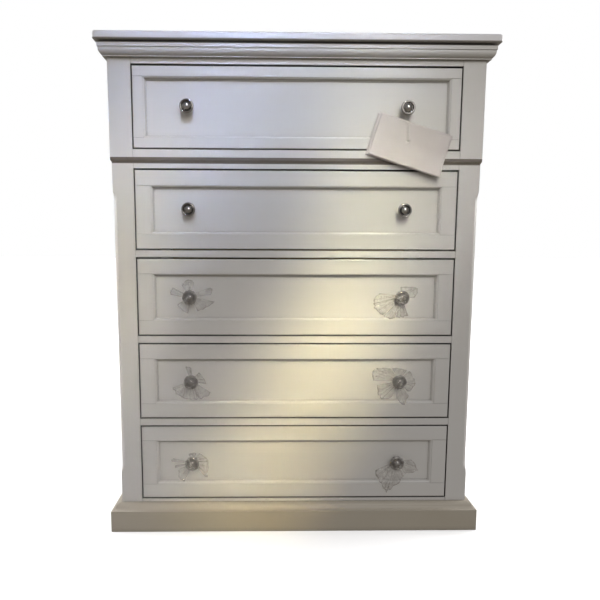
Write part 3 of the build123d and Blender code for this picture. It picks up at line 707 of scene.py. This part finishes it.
film_cap_sides = 80
film_cap_folds = 11
film_cap_outline = [
    (0.0, 28.5), (3.6, 28.1), (7.2, 26.6), (9.6, 24.9), (12.0, 24.3), (14.6, 24.3), (16.8, 23.3),
    (18.0, 21.8), (18.2, 19.8), (17.2, 17.8), (14.4, 16.0), (10.8, 14.6), (8.2, 13.2), (7.0, 11.8),
    (7.2, 10.4),
]


def film_cap(seed):
    """The film over the knob's head, creased where it is drawn in."""
    build = turned_piece(film_cap_outline, film_cap_sides)
    build.verts.layers.float.new("hem")
    for vert in build.verts:
        radius = math.hypot(vert.co.x, vert.co.y) * 1000
        angle = math.atan2(vert.co.y, vert.co.x)
        wander = 2.0 * noise.noise(Vector((angle, seed, 0.0)))
        fold = max(0.0, math.sin(film_cap_folds * angle + seed + wander))
        swell = 0.9 * fold * min(1.0, radius / 12.0) + 0.5 * (1.0 + noise.noise(vert.co * 180.0))
        if radius > 0.01:
            vert.co.x *= 1.0 + swell * 0.6 / max(radius, 6.0)
            vert.co.y *= 1.0 + swell * 0.6 / max(radius, 6.0)
        if vert.co.z > 0.0215:
            vert.co.z += 0.0006 * swell
    bmesh.ops.recalc_face_normals(build, faces=build.faces)
    return build


for number in (3, 4, 5):
    foot_y, knob_z = knob_feet[number]
    for side, x in (("left", -knob_across), ("right", knob_across)):
        wrap = film_cap(number + x)
        for order, flap in enumerate(film_flaps[number, side]):
            joined(wrap, film_flap(flap, number * 7.3 + x * 11.0 + order * 2.1))
        stood_on_front(wrap, x, foot_y, knob_z)
        film = finished_object(f"knob_film_{number}_{side}", wrap, film_material)
        film_body = film.modifiers.new("film", "SOLIDIFY")
        film_body.thickness = film_thickness
        film_body.offset = 0.0
        film.visible_shadow = False
        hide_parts(f"drawer_{number}_film")
        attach(film, f"drawer_{number}")


# Hang tag
# A blank card folded once along its top, punched for a string, and sprung open
# a little at the foot.
def tag_card():
    """Matt card: fine fibres and a faint cloud."""
    material, tree, shader = new_material("tag_card")
    place = tree.nodes.new("ShaderNodeTexCoord").outputs["Object"]
    fibres = noise_at(tree, stretched(tree, place, (1.0, 1.0, 0.4)), 1500.0, 4.0, 0.7)
    cloud = noise_at(tree, place, 16.0, 3.0)
    cloudy = map_range(tree, cloud, 0.3, 0.7, 0.0, 1.0)
    colour = mix_colour(tree, cloudy, (0.72, 0.665, 0.655), (0.77, 0.72, 0.705))
    colour = mix_colour(tree, map_range(tree, fibres, 0.5, 0.8, 0.0, 0.3), colour, (0.58, 0.51, 0.47))
    tree.links.new(colour, shader.inputs["Base Color"])
    tree.links.new(map_range(tree, fibres, 0.3, 0.7, 0.62, 0.78), shader.inputs["Roughness"])
    bump = tree.nodes.new("ShaderNodeBump")
    bump.inputs["Strength"].default_value = 0.3
    bump.inputs["Distance"].default_value = 0.0001
    tree.links.new(fibres, bump.inputs["Height"])
    tree.links.new(bump.outputs[0], shader.inputs["Normal"])
    return material


tag_hole = Vector((0.277, -0.2291, 1.02225))
tag_tilt = math.radians(18.0)
tag_left, tag_right = -0.086, 0.104
tag_foot, tag_head = -0.063, 0.045
tag_crease = -0.006
leaf_thickness = 0.00032
hole_radius = 0.0032


def tag_leaf(open_by, slip, turn, depth):
    """One leaf of the card, flat above its crease; X is across, Z up, and the hole is at the origin."""
    build = bmesh.new()
    bmesh.ops.create_grid(build, x_segments=38, y_segments=22, size=0.5)
    for vert in build.verts:
        x = tag_left + (vert.co.x + 0.5) * (tag_right - tag_left)
        z = tag_foot + (vert.co.y + 0.5) * (tag_head - tag_foot)
        drop = max(0.0, (tag_crease - z) / (tag_crease - tag_foot))
        lean = 0.6 + 0.4 * (x - tag_left) / (tag_right - tag_left)
        vert.co = (x + slip, depth - open_by * drop**1.3 * lean, z)
    near = [face for face in build.faces if face.calc_center_median().xz.length < 0.0036]
    bmesh.ops.delete(build, geom=near, context="FACES")
    for vert in build.verts:
        reach = vert.co.xz.length
        if vert.is_boundary and reach < 0.012:
            vert.co.x *= hole_radius / reach
            vert.co.z *= hole_radius / reach
    bmesh.ops.recalc_face_normals(build, faces=build.faces)
    tilted = Matrix.Rotation(tag_tilt + turn, 3, "Y")
    bmesh.ops.rotate(build, cent=(0, 0, 0), matrix=tilted, verts=build.verts)
    bmesh.ops.translate(build, vec=tag_hole, verts=build.verts)
    return build


front_leaf = tag_leaf(open_by=0.014, slip=0.0, turn=0.0, depth=0.0002)
back_leaf = tag_leaf(open_by=0.0, slip=-0.006, turn=-0.025, depth=0.00095)
card = joined(front_leaf, back_leaf)
tag = finished_object("folded_tag", card, tag_card())
tag_body = tag.modifiers.new("card", "SOLIDIFY")
tag_body.thickness = leaf_thickness
tag_body.offset = 0.0
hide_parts("hang_tag")
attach(tag, "drawer_1")


# Tag string
# Thin white cotton: out through the hole, up over the neck of the right-hand
# top knob, and back down through the hole.
def cotton():
    """Twisted cotton: fine slanting strands."""
    material, tree, shader = new_material("cotton_string")
    place = tree.nodes.new("ShaderNodeTexCoord").outputs["Object"]
    twist = tree.nodes.new("ShaderNodeTexWave")
    twist.bands_direction = "DIAGONAL"
    twist.inputs["Scale"].default_value = 420.0
    twist.inputs["Distortion"].default_value = 1.5
    tree.links.new(place, twist.inputs["Vector"])
    colour = mix_colour(tree, twist.outputs["Fac"], (0.66, 0.63, 0.58), (0.85, 0.83, 0.79))
    tree.links.new(colour, shader.inputs["Base Color"])
    shader.inputs["Roughness"].default_value = 0.85
    bump = tree.nodes.new("ShaderNodeBump")
    bump.inputs["Strength"].default_value = 0.5
    bump.inputs["Distance"].default_value = 0.0002
    tree.links.new(twist.outputs["Fac"], bump.inputs["Height"])
    tree.links.new(bump.outputs[0], shader.inputs["Normal"])
    return material


string_radius = 0.0006
string_points = [
    (0.2756, -0.2285, 1.02225), (0.2756, -0.2303, 1.02225), (0.2676, -0.2296, 1.10025),
    (0.2676, -0.2296, 1.10615), (0.2794, -0.2296, 1.10615), (0.2794, -0.2296, 1.10025),
    (0.2784, -0.2303, 1.02225), (0.2784, -0.2285, 1.02225),
]
string_curve = bpy.data.curves.new("tag_string", "CURVE")
string_curve.dimensions = "3D"
string_curve.bevel_depth = string_radius
string_curve.bevel_resolution = 3
string_curve.resolution_u = 24
string_line = string_curve.splines.new("NURBS")
string_line.points.add(len(string_points) - 1)
for point, place in zip(string_line.points, string_points):
    point.co = (*place, 1.0)
string_line.order_u = 3
string_line.use_endpoint_u = True
string_curve.materials.append(cotton())
string = bpy.data.objects.new("cotton_tag_string", string_curve)
scene.collection.objects.link(string)
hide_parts("tag_string")
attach(string, "drawer_1")
